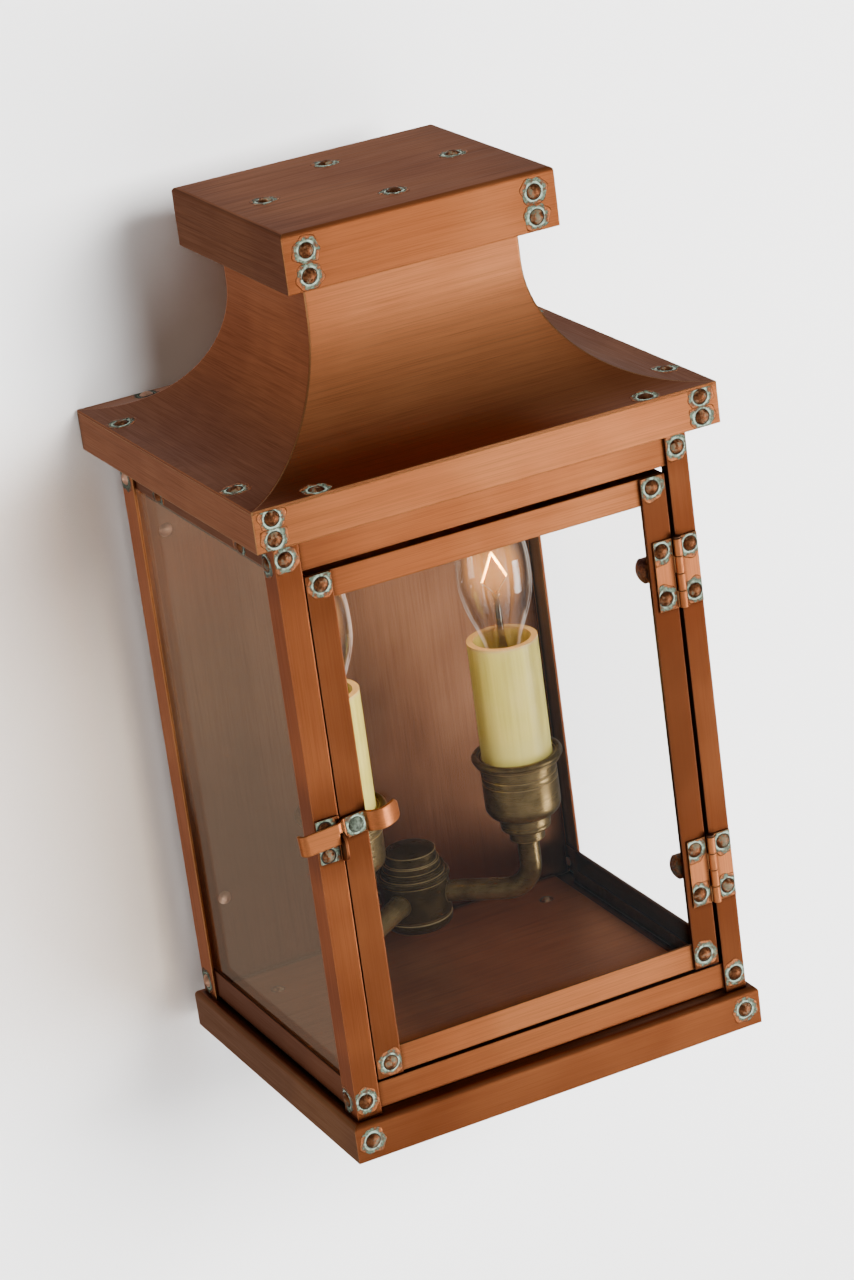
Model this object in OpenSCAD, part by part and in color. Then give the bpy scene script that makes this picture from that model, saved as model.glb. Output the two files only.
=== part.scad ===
// Wall lantern in riveted sheet copper, with a glazed door and two candle lights.
// Millimetres. The origin is the centre of the mounting bar's rear face, on the wall:
// +Z is up, -Y points out of the wall and X runs across it.
// Heights named ..._h are measured from the underside of the base.

/* [Body] */
// Width across the corner posts
body_w = 197; // [190:1:210]
// Depth from the rear posts to the front posts
body_d = 167; // [160:1:180]
// Height of the mounting bar above the underside of the base
outlet_h = 200; // [190:1:215]
// Gap between the rear posts and the wall
wall_gap = 12; // [12:0.5:15]
// Thickness of the sheet copper
sheet_t = 1.2; // [1:0.1:1.4]
// Thickness of the panes
glass_t = 2.2; // [2:0.1:2.4]

/* [Base] */
// Height of the base tray
base_h = 18; // [16:0.5:19]
// How far the base stands out past the posts
base_over = 4; // [3:0.5:6]
// Bend radius along the top edge of the base
base_bend = 2.6; // [2:0.1:3.5]

/* [Roof] */
// Height of the underside of the roof skirt
skirt_h = 288.5; // [284:0.5:292]
// Depth of the roof skirt
skirt_band = 18.6; // [16:0.2:20]
// How far the skirt stands out past the posts
skirt_over = 11.5; // [9:0.5:11.5]
// Overall height of the lantern
total_h = 406; // [400:1:415]
// Width of the cap
cap_w = 128; // [124:1:134]
// Depth of the cap, front to back
cap_d = 114; // [110:1:120]
// Height of the cap
cap_band = 26; // [22:1:28]
// Width of the roof neck under the cap
neck_w = 102; // [98:1:106]
// Depth of the roof neck under the cap
neck_d = 84; // [80:1:88]
// Height of the flared curve of the roof
flare_h = 57; // [50:1:62]

/* [Door] */
// Width of the door
door_w = 172.2; // [171:0.1:172.2]
// Height of the door's lower edge
door_low_h = 34.2; // [33.5:0.1:35]
// Height of the door's upper edge
door_top_h = 268.8; // [267:0.1:270]
// Width of the door stiles
stile_w = 12; // [11.8:0.1:12.4]
// Width of the door rails
door_rail_w = 12.2; // [12:0.2:13]
// Height of a hinge
hinge_l = 32.2; // [30:0.1:34]
// Radius of the hinge pins
pin_r = 1; // [0.9:0.05:1.1]
// Radius of the hinge barrels
barrel_r = 1.9; // [1.8:0.05:2]

/* [Latch] */
// Height of the latch pivot
latch_h = 155.2; // [150:0.1:160]
// Width of the latch strip
lever_w = 9.4; // [8.8:0.1:9.6]
// Tilt of the latch at rest, in degrees
lever_tilt = 4.5; // [3:0.5:5]

/* [Candles] */
// Distance of each candle from the middle
candle_x = 45.5; // [42:0.5:48]
// Distance of the candles from the wall
candle_out = 81; // [78:0.5:84]
// Outer radius of a candle sleeve
sleeve_r = 16.4; // [16:0.1:16.5]
// Height of the top of a sleeve
sleeve_top_h = 175.7; // [170:0.1:180]
// Largest radius of a bulb
bulb_r = 17.3; // [16:0.1:17.5]
// Height of the tip of a bulb
bulb_tip_h = 252; // [245:1:256]
// Height of the candle arms
arm_h = 50; // [48:0.5:52]

/* [Fasteners] */
// Shank radius of a rivet
rivet_r = 1.5; // [1.4:0.1:1.6]
// Head radius of a rivet
head_r = 3.3; // [2.8:0.1:3.5]
// Head height of a rivet
head_h = 1.5; // [1.3:0.1:1.6]
// Distance between the two outlet box screws
box_screws = 88.9; // [80:0.1:95]

/* [Hidden] */
$fn = 64;

copper = "#b8683c";
dark_copper = "#8a4e30";
bright_copper = "#d07a48";
brass = "#80683c";
steel = "#a8a8a8";
pane = "#cfe0e0";
ivory = "#d8d49a";

eps = 0.01;
seat_gap = 0.1;                       // gap left where one part only rests near another
body_x = body_w / 2;
y_rear = -wall_gap;
y_front = y_rear - body_d;
y_mid = (y_rear + y_front) / 2;

// posts
latch_leg = 11.6;                     // front face of the post on the latch side
hinge_leg = 10.2;                     // narrower on the hinge side, to clear the barrels
stop_d = 6;                           // return along the inner edge of a front post
side_leg = 13;
rear_leg = 12;
post_top_h = skirt_h + skirt_band - 2 * sheet_t;
// rails stand one sheet inside the posts
rail_x = body_x - sheet_t;
rail_y = y_front + sheet_t;
front_rail_x = rail_x - sheet_t - seat_gap;
rail_return = 8.6;
rail_return_x = front_rail_x - 1;      // reaches behind the front posts
header_low_h = 271.5;
sill_low_h = base_h + 2.4;
sill_top_h = 32.3;
side_top_low_h = 272.5;
side_low_top_h = 33;
// back panel, wall pan and mounting bar
panel_front = y_rear - 2 * sheet_t;
pan_x = 86;
pan_low_h = 36;
pan_top_h = 258;
bar_t = 2;
bar_w = 32;
bar_x = pan_x - sheet_t - seat_gap;
bar_ear = 9;
wire_r = 9;
box_hole_r = 2.4;
m4_r = 2;
hang_y = -6;
ground_x = -28;
nipple_h = 46;
nipple_r = 5;
// rivet rows: [x or y, height]
hole_slack = 0.05;
tail_r = 2.2;
tail_h = 0.8;
post_rivet_x = body_x - 4.8;
post_rivet_h = [26.2, 279];
side_rivet_h = [25, 275.6];
side_rivet_front_y = y_front + 9.5;
side_rivet_rear_y = y_rear - 5;
clip_rivet_y = [-51.4, -139.8];
panel_rivet_x = 82.5;
panel_rivet_h = [62, 246];
floor_rivet_x = 71.7;
floor_rivet_y = [-37, -154];
// roof
skirt_x = body_x + skirt_over;
skirt_front = y_front - skirt_over;
skirt_rear = y_rear + skirt_over;
skirt_top_h = skirt_h + skirt_band;
skirt_flange = 24;
reach_x = skirt_x - neck_w / 2;
reach_y = (skirt_rear - skirt_front) / 2 - neck_d / 2;
flat_rim = 3 / 53;                    // share of the roof's reach that lies flat on the skirt
flange_in = 12 / 53;                  // inward flange at the top of the neck, as a share too
flare_steps = 24;
flare_rivet_x = 78;
flare_rivet_y = [-35.7, -158.7];
flare_inset_x = 7;
flare_inset_y = 5;
skirt_rivet_x = skirt_x - 8.6;
skirt_rivet_h = [293.2, 302.3];
cap_rivet_x = 53.5;
cap_rivet_h = [386.2, 397.2];
cap_top_rivet_x = 45;
cap_top_rivet_y = 34;
base_rivet_x = 94.6;
base_rivet_h = 9;
tab_w = 14;                           // corner tabs folded behind the front faces
// door
door_x = door_w / 2;
door_return = 12.6;
stile_hem = 2.8;                      // inner edge of a stile, folded double
door_rivet_x = door_x - 6.7;
door_rivet_h = [door_low_h + 6.3, door_top_h - 4.8];
hinge_x = 87.9;
hinge_y = y_front - barrel_r;
hinge_h = [80.6, 222.9];
leaf_t = 0.8;
leaf_edge_x = 76.6;
leaf_rivet_h = [70.1, 92.1, 212.5, 234.5];
leaf_rivet_door_x = 80;
leaf_rivet_post_x = 94.5;
knuckles = 4;
knuckle_gap = 0.4;
leaf_gap = 0.3;
pin_slack = 0.06;
stud_r = 5.7;
stud_shank_r = 2;
stud_h = [81.2, 223.5];
stud_y = y_front + sheet_t * 2 + 0.1 + glass_t + seat_gap + stud_r;
// latch
latch_x = -80;
lever_t = 1.2;
lever_lift = 0.3;                     // the lever stands this far off the door
tongue_off = 4.1;                     // middle of the tongue's strip, out from the door
pivot_r = 1.6;
tab_end = 20.6;
tab_round = 2.6;
ear_t = 1.2;
ear_x = -88.2;
ear_top_h = 154;
ear_out = 6.3;
ear_round = 5;
keeper_low_h = 141;
keeper_top_h = 161.2;
keeper_rivet_x = -94.3;
keeper_head_r = 3;
keeper_rivet_h = [144.4, 157];
// candles
y_candle = -candle_out;
y_cluster = -47;
cluster_r = 16.5;
cluster_low_h = 34;
cluster_top_h = 58;
arm_r = 5.2;
arm_bore = 3.8;
arm_bend = 13;
arm_span = norm([candle_x, y_candle - y_cluster]);
arm_turn = atan2(y_candle - y_cluster, candle_x);
cup_floor_h = 94;
cup_rim_h = 119.6;
collar_low_h = 76;
sleeve_bore = 13.4;
socket_r = 10.4;
socket_top_h = 159.5;
socket_well_h = 138;
screw_r = 5.95;
neck_h = 160;
bulb_wide_h = 205;
bulb_wall = 0.8;
bulb_steps = 12;

function up(h) = h - outlet_h;

// ---------- placing ----------

// +Z of the children points out of the wall, across it or up
module on_front(x, h, y) translate([x, y, up(h)]) rotate([90, 0, 0]) children();
module on_side(side, x, y, h) translate([side * x, y, up(h)]) rotate([0, side * 90, 0]) children();
module on_top(x, y, h) translate([x, y, up(h)]) children();
module both() for (side = [-1, 1]) scale_side(side) children();
module scale_side(side) mirror([side < 0 ? 1 : 0, 0, 0]) children();
module block(x0, x1, y0, y1, h0, h1) translate([x0, y0, up(h0)]) cube([x1 - x0, y1 - y0, h1 - h0]);

// ---------- rivets ----------

// A domed rivet standing on z = 0, with its shank and hammered tail below
module rivet(grip, r = head_r) {
    dome = (r * r + head_h * head_h) / (2 * head_h);
    rotate_extrude() {
        intersection() {
            translate([0, head_h - dome]) circle(dome);
            square([r, head_h]);
        }
        translate([0, -grip - tail_h]) square([rivet_r, grip + tail_h + eps]);
        translate([0, -grip - tail_h]) square([tail_r, tail_h]);
    }
}

module rivet_hole() translate([0, 0, -6]) cylinder(r = rivet_r + hole_slack, h = 8);

// children() at every rivet of a row; the parts drill their holes through the same rows
module post_front_row() for (s = [-1, 1], h = post_rivet_h) on_front(s * post_rivet_x, h, y_front) children();
module post_side_row()
    for (s = [-1, 1], h = side_rivet_h, y = [side_rivet_front_y, side_rivet_rear_y])
        on_side(s, body_x, y, h) children();
module clip_row() for (s = [-1, 1], y = clip_rivet_y) on_side(s, rail_x, y, side_rivet_h[1]) children();
module panel_row()
    for (s = [-1, 1], h = panel_rivet_h) on_front(s * panel_rivet_x, h, panel_front) children();
module floor_row()
    for (s = [-1, 1], y = floor_rivet_y) on_top(s * floor_rivet_x, y, base_h + sheet_t) children();
module base_row()
    for (s = [-1, 1]) on_front(s * base_rivet_x, base_rivet_h, y_front - base_over) children();
module keeper_row() for (h = keeper_rivet_h) on_front(keeper_rivet_x, h, y_front - leaf_t) children();
module leaf_row(x) for (h = leaf_rivet_h) on_front(x, h, y_front - leaf_t) children();
module corner_row() for (s = [-1, 1], h = door_rivet_h) on_front(s * door_rivet_x, h, y_front) children();
module skirt_row()
    for (s = [-1, 1], h = skirt_rivet_h) on_front(s * skirt_rivet_x, h, skirt_front) children();
module cap_row()
    for (s = [-1, 1], h = cap_rivet_h) on_front(s * cap_rivet_x, h, y_mid - cap_d / 2) children();
module cap_top_row() {
    for (s = [-1, 1]) on_top(s * cap_top_rivet_x, y_mid, total_h) children();
    for (s = [-1, 1]) on_top(0, y_mid + s * cap_top_rivet_y, total_h) children();
}
module flare_row() {
    for (s = [-1, 1], y = [skirt_front + flare_inset_y, skirt_rear - flare_inset_y])
        on_top(s * flare_rivet_x, y, skirt_top_h + eps) children();
    for (s = [-1, 1], y = flare_rivet_y)
        on_top(s * (skirt_x - flare_inset_x), y, skirt_top_h + eps) children();
}

// ---------- sheet shapes ----------

// Outline of a sheet folded down at both ends, with its bends rounded
module folded_outline(w, h, r) {
    translate([-w / 2 + r, 0]) square([w - 2 * r, h]);
    translate([-w / 2, 0]) square([w, h - r]);
    for (s = [-1, 1]) translate([s * (w / 2 - r), h - r]) circle(r);
}

// A solid block with all four top edges rounded, standing on z = 0
module soft_block(w, d, h, r) {
    intersection() {
        rotate([90, 0, 0]) linear_extrude(d, center = true) folded_outline(w, h, r);
        rotate([90, 0, 90]) linear_extrude(w, center = true) folded_outline(d, h, r);
    }
}

// An upside-down tray, with tabs of its sides folded behind the front
module tray(w, d, h, r) {
    difference() {
        soft_block(w, d, h, r);
        translate([0, 0, -eps])
            soft_block(w - 2 * sheet_t, d - 2 * sheet_t, h - sheet_t + eps, r - sheet_t);
    }
    for (s = [-1, 1])
        translate([s * (w / 2 - sheet_t - tab_w / 2), -d / 2 + sheet_t * 1.5, (h - r) / 2 + 1])
            cube([tab_w, sheet_t, h - r - 2], center = true);
}

// Points of a bent strip: a path thickened by t
function along(p, i) = p[min(i + 1, len(p) - 1)] - p[max(i - 1, 0)];
function normal(p, i) = let (d = along(p, i)) [-d[1], d[0]] / norm(d);
function strip(p, t) = concat(
    [for (i = [0 : len(p) - 1]) p[i] + normal(p, i) * t / 2],
    [for (i = [len(p) - 1 : -1 : 0]) p[i] - normal(p, i) * t / 2]
);

// ---------- base ----------

module base_tray() color(copper) difference() {
    translate([0, y_mid, up(0)]) tray(body_w + 2 * base_over, body_d + 2 * base_over, base_h, base_bend);
    base_row() rivet_hole();
    floor_row() rivet_hole();
}

module floor_panel() color(dark_copper) difference() {
    block(-88, 88, rail_y + 4, panel_front - seat_gap, base_h, base_h + sheet_t);
    floor_row() rivet_hole();
}

// ---------- posts and rails ----------

module front_post(side) color(copper) difference() {
    inner_x = body_x - (side > 0 ? hinge_leg : latch_leg);
    scale_side(side) {
        block(inner_x, body_x, y_front, y_front + sheet_t, base_h, post_top_h);
        block(body_x - sheet_t, body_x, y_front, y_front + side_leg, base_h, post_top_h);
        block(inner_x, inner_x + sheet_t, y_front, y_front + stop_d,
            sill_top_h + seat_gap, header_low_h - seat_gap);
    }
    post_front_row() rivet_hole();
    post_side_row() rivet_hole();
    leaf_row(leaf_rivet_post_x) rivet_hole();
    keeper_row() rivet_hole();
}

module rear_post(side) color(copper) difference() {
    scale_side(side) {
        block(body_x - rear_leg, body_x, y_rear - sheet_t, y_rear, base_h, post_top_h);
        block(body_x - sheet_t, body_x, y_rear - side_leg, y_rear, base_h, post_top_h);
    }
    post_side_row() rivet_hole();
}

module front_rail(h0, h1, returns) color(copper) difference() {
    union() {
        block(-front_rail_x, front_rail_x, rail_y, rail_y + sheet_t, h0, h1);
        for (h = returns)
            block(-rail_return_x, rail_return_x, rail_y + sheet_t - eps, rail_y + sheet_t + rail_return,
                h, h + sheet_t);
    }
    post_front_row() rivet_hole();
}

module header_rail() front_rail(header_low_h, post_top_h, [header_low_h, post_top_h - sheet_t]);
module sill_rail() front_rail(sill_low_h, sill_top_h, [sill_top_h - sheet_t]);

module side_rail(side, h0, h1) color(copper) difference() {
    scale_side(side) block(rail_x - sheet_t + eps, rail_x, rail_y, y_rear - sheet_t, h0, h1);
    post_side_row() rivet_hole();
    clip_row() rivet_hole();
}

// ---------- back, wall pan and mounting bar ----------

module back_panel() color(dark_copper) difference() {
    block(-96, 96, panel_front, panel_front + sheet_t, base_h, post_top_h);
    panel_row() rivet_hole();
    on_front(0, nipple_h, 0) cylinder(r = nipple_r + hole_slack, h = 40);
}

module wall_pan() color(dark_copper) difference() {
    block(-pan_x, pan_x, y_rear - sheet_t, -0.3, pan_low_h, pan_top_h);
    block(-pan_x + sheet_t, pan_x - sheet_t, y_rear, 1, pan_low_h + sheet_t, pan_top_h - sheet_t);
    panel_row() rivet_hole();
    on_front(0, nipple_h, 0) cylinder(r = nipple_r + hole_slack, h = 40);
    for (s = [-1, 1]) on_side(s, pan_x - 3, hang_y, outlet_h) cylinder(r = m4_r + 2 * hole_slack, h = 5);
}

module mounting_bar() color(steel) difference() {
    union() {
        translate([-bar_x, -bar_t, -bar_w / 2]) cube([2 * bar_x, bar_t, bar_w]);
        both() translate([bar_x - bar_t, -bar_ear - bar_t, -bar_w / 2]) cube([bar_t, bar_ear + bar_t, bar_w]);
    }
    translate([0, 1, 0]) rotate([90, 0, 0]) cylinder(r = wire_r, h = bar_t + 2);
    for (s = [-1, 1])
        translate([s * box_screws / 2, 1, 0]) rotate([90, 0, 0]) cylinder(r = box_hole_r, h = bar_t + 2);
    for (s = [-1, 1]) on_side(s, bar_x - 3, hang_y, outlet_h) cylinder(r = m4_r + hole_slack, h = 5);
    translate([ground_x, 1, 0]) rotate([90, 0, 0]) cylinder(r = m4_r + hole_slack, h = bar_t + 2);
}

// A cheese-head screw standing on z = 0, with a slot across its head
module screw(head, head_t, shank, length) difference() {
    union() {
        cylinder(r = head, h = head_t);
        translate([0, 0, -length]) cylinder(r = shank, h = length + eps);
    }
    translate([-head - 1, -0.5, head_t - 0.8]) cube([2 * head + 2, 1, 2]);
}

module hang_screws() color(steel)
    for (s = [-1, 1]) on_side(s, pan_x, hang_y, outlet_h) screw(3.6, 2.2, m4_r, 5.5);

module ground_screw() color("#3f7a4a")
    translate([ground_x, -bar_t, 0]) rotate([90, 0, 0]) screw(4, 2.2, m4_r, 1.8);

// ---------- side glass ----------

glass_x = rail_x - sheet_t - seat_gap;
side_glass_front = side_rivet_front_y + tail_r + 0.2;
side_glass_rear = y_rear - 14.2;
side_glass_low_h = base_h + 0.8;
side_glass_top_h = 273;
clip_t = 0.9;

module side_glass(side) color(pane, 0.35) scale_side(side)
    block(glass_x - glass_t, glass_x, side_glass_front, side_glass_rear, side_glass_low_h, side_glass_top_h);

// Section of the strip that holds the top of a side pane, in x and height
module retainer_outline() {
    inside = glass_x - glass_t - seat_gap;
    web = glass_x + seat_gap - clip_t;
    translate([web, side_glass_top_h + 0.4]) square([clip_t, 8]);
    translate([inside - clip_t, side_glass_top_h + 0.4]) square([web - inside + clip_t + eps, clip_t]);
    translate([inside - clip_t, side_glass_top_h - 5]) square([clip_t, 6]);
}

module channel_outline() {
    lip = 0.7;
    inside = glass_x - glass_t - seat_gap;
    translate([inside - lip, base_h]) square([glass_x - inside + lip, lip]);
    translate([inside - lip, base_h]) square([lip, 7]);
}

module glass_channels() color(dark_copper) difference() {
    both() translate([0, side_glass_rear, up(0)]) rotate([90, 0, 0])
        linear_extrude(side_glass_rear - side_glass_front) {
            retainer_outline();
            channel_outline();
        }
    clip_row() {
        rivet_hole();
        translate([0, 0, -sheet_t - clip_t - 2]) cylinder(r = tail_r + 0.1, h = 2);
    }
}

// ---------- roof ----------

module roof_skirt() color(copper) difference() {
    union() {
        difference() {
            block(-skirt_x, skirt_x, skirt_front, skirt_rear, skirt_h, skirt_top_h - sheet_t);
            block(-skirt_x + sheet_t, skirt_x - sheet_t, skirt_front + sheet_t, skirt_rear - sheet_t,
                skirt_h - 1, skirt_top_h - 2 * sheet_t);
        }
        both() block(skirt_x - sheet_t - tab_w, skirt_x - sheet_t, skirt_front + sheet_t - eps,
            skirt_front + 2 * sheet_t, skirt_h + 0.6, skirt_top_h - 2 * sheet_t);
    }
    block(-skirt_x + skirt_flange, skirt_x - skirt_flange, skirt_front + skirt_flange,
        skirt_rear - skirt_flange, skirt_h - 1, skirt_top_h);
    skirt_row() rivet_hole();
    flare_row() rivet_hole();
}

// Section of one roof panel: flat rim, flared quarter, upright neck and inward flange
function flare_face(reach, t) = [
    for (i = [0 : flare_steps])
        let (a = 90 * (1 - i / flare_steps), r = reach * (1 - flat_rim))
            [r - (r + t) * cos(a), skirt_top_h + flare_h - (flare_h + t) * sin(a)]
];
function flare_back(reach, t) = [for (i = [flare_steps : -1 : 0]) flare_face(reach, t)[i]];

module panel_section(half, reach) translate([half, 0]) polygon(concat(
    [[reach, skirt_top_h]],
    flare_face(reach, 0),
    [[0, total_h - sheet_t], [-reach * flange_in, total_h - sheet_t]],
    [[-reach * flange_in, total_h - 2 * sheet_t], [-sheet_t, total_h - 2 * sheet_t]],
    flare_back(reach, sheet_t),
    [[reach, skirt_top_h - sheet_t]]
));

// One panel, facing along +X before its turn, mitred to its neighbours along the hips
module roof_panel(turn, half, reach, half_side, reach_side) color(copper) difference() {
    translate([0, y_mid, up(0)]) rotate([0, 0, turn]) intersection() {
        rotate([90, 0, 0]) linear_extrude(4 * half_side + 4 * reach_side, center = true)
            panel_section(half, reach);
        linear_extrude(total_h) polygon([
            for (c = [[-flange_in, -1], [1.05, -1], [1.05, 1], [-flange_in, 1]])
                [half + reach * c[0], c[1] * (half_side + reach_side * c[0])]
        ]);
    }
    flare_row() {
        rivet_hole();
        cylinder(r = head_r + 0.1, h = 3);
    }
    cap_top_row() rivet_hole();
}

module roof_right() roof_panel(0, neck_w / 2, reach_x, neck_d / 2, reach_y);
module roof_rear() roof_panel(90, neck_d / 2, reach_y, neck_w / 2, reach_x);
module roof_left() roof_panel(180, neck_w / 2, reach_x, neck_d / 2, reach_y);
module roof_front() roof_panel(270, neck_d / 2, reach_y, neck_w / 2, reach_x);

module roof_cap() color(copper) difference() {
    translate([0, y_mid, up(total_h - cap_band)]) tray(cap_w, cap_d, cap_band, 2);
    cap_row() rivet_hole();
    cap_top_row() rivet_hole();
}

// ---------- fixed rivets ----------

module body_rivets() color(copper) {
    post_front_row() rivet(2 * sheet_t);
    post_side_row() rivet(2 * sheet_t);
    clip_row() rivet(sheet_t + clip_t);
    panel_row() rivet(2 * sheet_t);
    floor_row() rivet(2 * sheet_t);
    base_row() rivet(2 * sheet_t);
    keeper_row() rivet(sheet_t + leaf_t, keeper_head_r);
    leaf_row(leaf_rivet_post_x) rivet(sheet_t + leaf_t);
}

module roof_rivets() color(copper) {
    skirt_row() rivet(2 * sheet_t);
    cap_row() rivet(2 * sheet_t);
    cap_top_row() rivet(2 * sheet_t);
    flare_row() rivet(2 * sheet_t + eps);
}

// ---------- hinges ----------

// One leaf, with the knuckles of one parity; it lies towards +X before mirroring
module hinge_leaf(h, width, first) {
    step = hinge_l / knuckles;
    block(barrel_r + leaf_gap, width, barrel_r - leaf_t, barrel_r, h - hinge_l / 2, h + hinge_l / 2);
    for (i = [first : 2 : knuckles - 1]) {
        low = h - hinge_l / 2 + i * step + knuckle_gap / 2;
        block(0, barrel_r + leaf_gap + eps, barrel_r - leaf_t, barrel_r, low, low + step - knuckle_gap);
        translate([0, 0, up(low)]) cylinder(r = barrel_r, h = step - knuckle_gap);
    }
}

module pin_bore() translate([hinge_x, hinge_y, up(0)]) cylinder(r = pin_r + pin_slack, h = total_h);

module hinge_leaves_post() color(copper) difference() {
    translate([hinge_x, hinge_y, 0]) for (h = hinge_h) hinge_leaf(h, body_x - 0.2 - hinge_x, 1);
    pin_bore();
    leaf_row(leaf_rivet_post_x) rivet_hole();
}

module hinge_leaves_door() color(copper) difference() {
    translate([hinge_x, hinge_y, 0]) mirror([1, 0, 0])
        for (h = hinge_h) hinge_leaf(h, hinge_x - leaf_edge_x, 0);
    pin_bore();
    leaf_row(leaf_rivet_door_x) rivet_hole();
}

module hinge_pins() color(copper) for (h = hinge_h) translate([hinge_x, hinge_y, up(h - hinge_l / 2)]) {
    cylinder(r = pin_r, h = hinge_l + 0.4);
    translate([0, 0, hinge_l + 0.1]) cylinder(r = pin_r + 0.7, h = 0.8);
}

// ---------- door ----------

module door_stile(side) color(copper) difference() {
    scale_side(side) {
        block(door_x - stile_w, door_x, y_front, y_front + sheet_t, door_low_h, door_top_h);
        block(door_x - sheet_t, door_x, y_front, y_front + sheet_t + door_return, door_low_h, door_top_h);
        block(door_x - stile_w, door_x - stile_w + stile_hem, y_front, rail_y + sheet_t,
            door_low_h + door_rail_w + seat_gap, door_top_h - door_rail_w - seat_gap);
    }
    corner_row() rivet_hole();
    leaf_row(leaf_rivet_door_x) rivet_hole();
    on_front(latch_x, latch_h, y_front + 5) cylinder(r = pivot_r + hole_slack, h = 8);
    stud_row() cylinder(r = stud_shank_r + hole_slack, h = 30, center = true);
}

module door_rail(low_h, edge_h) color(copper) difference() {
    union() {
        block(-door_x + sheet_t + seat_gap, door_x - sheet_t - seat_gap, rail_y, rail_y + sheet_t,
            low_h, low_h + door_rail_w);
        block(-door_x + sheet_t + seat_gap, door_x - sheet_t - seat_gap, rail_y + sheet_t - eps,
            y_front + sheet_t + door_return, edge_h, edge_h + sheet_t);
    }
    corner_row() rivet_hole();
}

module door_rail_top() door_rail(door_top_h - door_rail_w, door_top_h - sheet_t);
module door_rail_low() door_rail(door_low_h, door_low_h);

module door_glass() color(pane, 0.35)
    block(-77, 77, rail_y + sheet_t + seat_gap, rail_y + sheet_t + seat_gap + glass_t,
        door_low_h + 5.4, door_top_h - 5.4);

// Mushroom studs that stand on the outer returns and hold the pane from behind
module stud_row()
    for (s = [-1, 1], h = stud_h) on_side(-s, 0, stud_y, h) translate([0, 0, -door_x]) children();

module glass_studs() color(dark_copper) stud_row() rotate_extrude() {
    head_low = door_x - 79.2;
    dome_h = 2.6;
    dome = (stud_r * stud_r + dome_h * dome_h) / (2 * dome_h);
    square([stud_shank_r, head_low + eps]);
    translate([0, head_low]) square([stud_r, 3.4]);
    translate([0, head_low + 3.4 - eps]) intersection() {
        translate([0, dome_h - dome]) circle(dome);
        square([stud_r, dome_h]);
    }
}

module door_rivets() color(copper) {
    corner_row() rivet(2 * sheet_t);
    leaf_row(leaf_rivet_door_x) rivet(sheet_t + leaf_t);
}

// ---------- latch ----------

module at_latch() translate([latch_x, y_front, up(latch_h)]) children();

module latch_rivet() color(dark_copper) at_latch() rotate([90, 0, 0]) {
    head = 3.4;
    stand = lever_lift + lever_t + 0.2;
    rise = 1.6;
    dome = (head * head + rise * rise) / (2 * rise);
    rotate_extrude() {
        translate([0, stand]) intersection() {
            translate([0, rise - dome]) circle(dome);
            square([head, rise]);
        }
        translate([0, -sheet_t - tail_h]) square([pivot_r, stand + sheet_t + tail_h + eps]);
        translate([0, -sheet_t - tail_h]) square([tail_r + 0.2, tail_h]);
    }
}

// Centre line of the lever seen from above: curled lip, tongue, joggle, eye and waved finger tab
eye_off = lever_lift + lever_t / 2;
function lip(a) = [-24 - 2.6 * sin(a), tongue_off - 2.6 + 2.6 * cos(a)];
function joggle(s) = [-9 + 4 * s, eye_off + (tongue_off - eye_off) * (1 + cos(180 * s)) / 2];
function wave(s) = [4.5 + 16 * s, eye_off + 4.6 * sin(180 * pow(s, 0.75))];
lever_path = concat(
    [for (a = [100 : -20 : 0]) lip(a)],
    [for (s = [0 : 0.2 : 1]) joggle(s)],
    [for (s = [0 : 1 / 14 : 1]) wave(s)]
);

// Front view of the lever, with the corners of its finger tab rounded
module lever_outline() {
    translate([-40, -lever_w / 2]) square([40 + tab_end - tab_round, lever_w]);
    translate([-40, tab_round - lever_w / 2]) square([40 + tab_end, lever_w - 2 * tab_round]);
    for (s = [-1, 1]) translate([tab_end - tab_round, s * (lever_w / 2 - tab_round)]) circle(tab_round);
}

module latch_lever() color(bright_copper) difference() {
    at_latch() rotate([0, -lever_tilt, 0]) difference() {
        intersection() {
            translate([0, 0, -lever_w / 2]) linear_extrude(lever_w)
                mirror([0, 1, 0]) polygon(strip(lever_path, lever_t));
            rotate([90, 0, 0]) linear_extrude(30, center = true) lever_outline();
        }
        rotate([90, 0, 0]) translate([0, 0, -5]) cylinder(r = pivot_r + pin_slack, h = 12);
    }
    // the notch that drops over the keeper's ear, leaving a round eye about the pivot
    difference() {
        block(-89.2, latch_x, y_front - 12, y_front + 1, latch_h - 12, ear_top_h + 0.6);
        on_front(latch_x, latch_h, y_front + 2) cylinder(r = 6.2, h = 16);
    }
}

module latch_keeper() color(copper) difference() {
    ear_round_y = y_front - leaf_t - ear_out + ear_round;
    union() {
        block(-98.3, ear_x + ear_t, y_front - leaf_t, y_front, keeper_low_h, keeper_top_h);
        intersection() {
            block(ear_x, ear_x + ear_t, y_front - leaf_t - ear_out, y_front, keeper_low_h, ear_top_h);
            union() {
                block(ear_x - 1, ear_x + 3, ear_round_y, y_front, keeper_low_h, ear_top_h);
                block(ear_x - 1, ear_x + 3, y_front - 12, y_front,
                    keeper_low_h + ear_round, ear_top_h - ear_round);
                for (h = [keeper_low_h + ear_round, ear_top_h - ear_round])
                    on_side(1, ear_x - 1, ear_round_y, h) cylinder(r = ear_round, h = 4);
            }
        }
    }
    keeper_row() rivet_hole();
}

// ---------- candle cluster ----------

module at_cluster() translate([0, y_cluster, up(0)]) children();
module at_candle(side) translate([side * candle_x, y_candle, up(0)]) children();
module arm_frame(side) translate([0, y_cluster, up(arm_h)])
    rotate([0, 0, side > 0 ? arm_turn : 180 - arm_turn]) children();

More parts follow.
